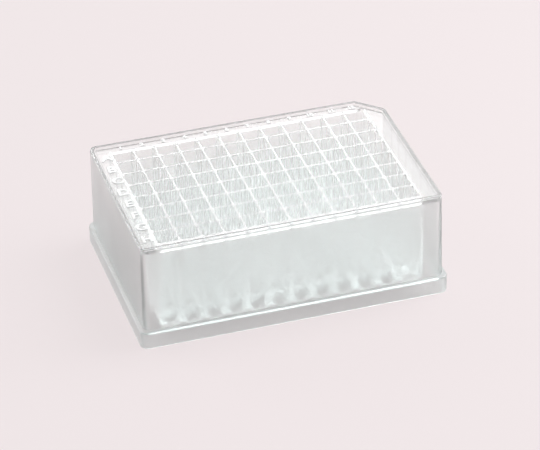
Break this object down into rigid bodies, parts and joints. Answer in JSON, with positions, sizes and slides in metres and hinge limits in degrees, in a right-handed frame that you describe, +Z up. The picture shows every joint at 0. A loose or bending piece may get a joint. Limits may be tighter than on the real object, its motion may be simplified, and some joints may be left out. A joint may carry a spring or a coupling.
{
  "type": "deep well plate",
  "caption": "Clear deep well plate: a grid of square wells in one moulding with a raised rim, a cut corner, smooth outer walls and a stepped base flange.",
  "frame": {"origin": "centre of the footprint, on the surface the plate stands on", "axes": "+Z up out of the wells, +X along the rows from column 1 to column 12, +Y from row H to row A"},
  "size_m": [0.1278, 0.0854, 0.045],
  "materials": {
    "clear_plastic": "clear moulded polystyrene"
  },
  "bodies": {
    "root": {"well_plate": "clear_plastic"}
  },
  "joints": []
}
